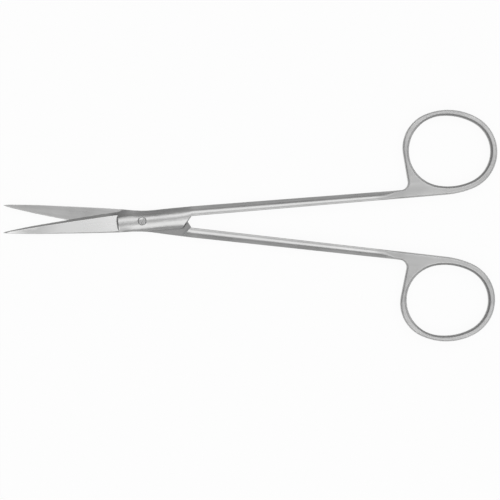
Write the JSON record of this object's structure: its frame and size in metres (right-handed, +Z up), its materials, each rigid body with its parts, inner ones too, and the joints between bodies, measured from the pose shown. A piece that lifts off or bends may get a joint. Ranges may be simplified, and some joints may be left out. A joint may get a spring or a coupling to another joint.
{
  "type": "surgical scissors",
  "caption": "Straight surgical scissors with slender shanks, oval finger rings and sharp ground blades, lapped on a flush joint screw.",
  "frame": {"origin": "on the pivot's axis, at the flat end of the joint screw that touches the table", "axes": "+X from the pivot towards the finger rings, between the two halves; +Y towards the ring of the front half; +Z up, along the pivot's axis"},
  "size_m": [0.1578, 0.0742, 0.0038],
  "materials": {
    "satin_steel": "satin",
    "screw_steel": "satin"
  },
  "bodies": {
    "back": {"back_half": "satin_steel", "joint_screw": "screw_steel"},
    "front": {"front_half": "satin_steel"}
  },
  "joints": [
    {"name": "pivot", "type": "hinge", "parent": "back", "child": "front", "pos_m": [0, 0, 0], "axis": [0, 0, 1], "range_deg": [-11.34, 48.66]}
  ]
}
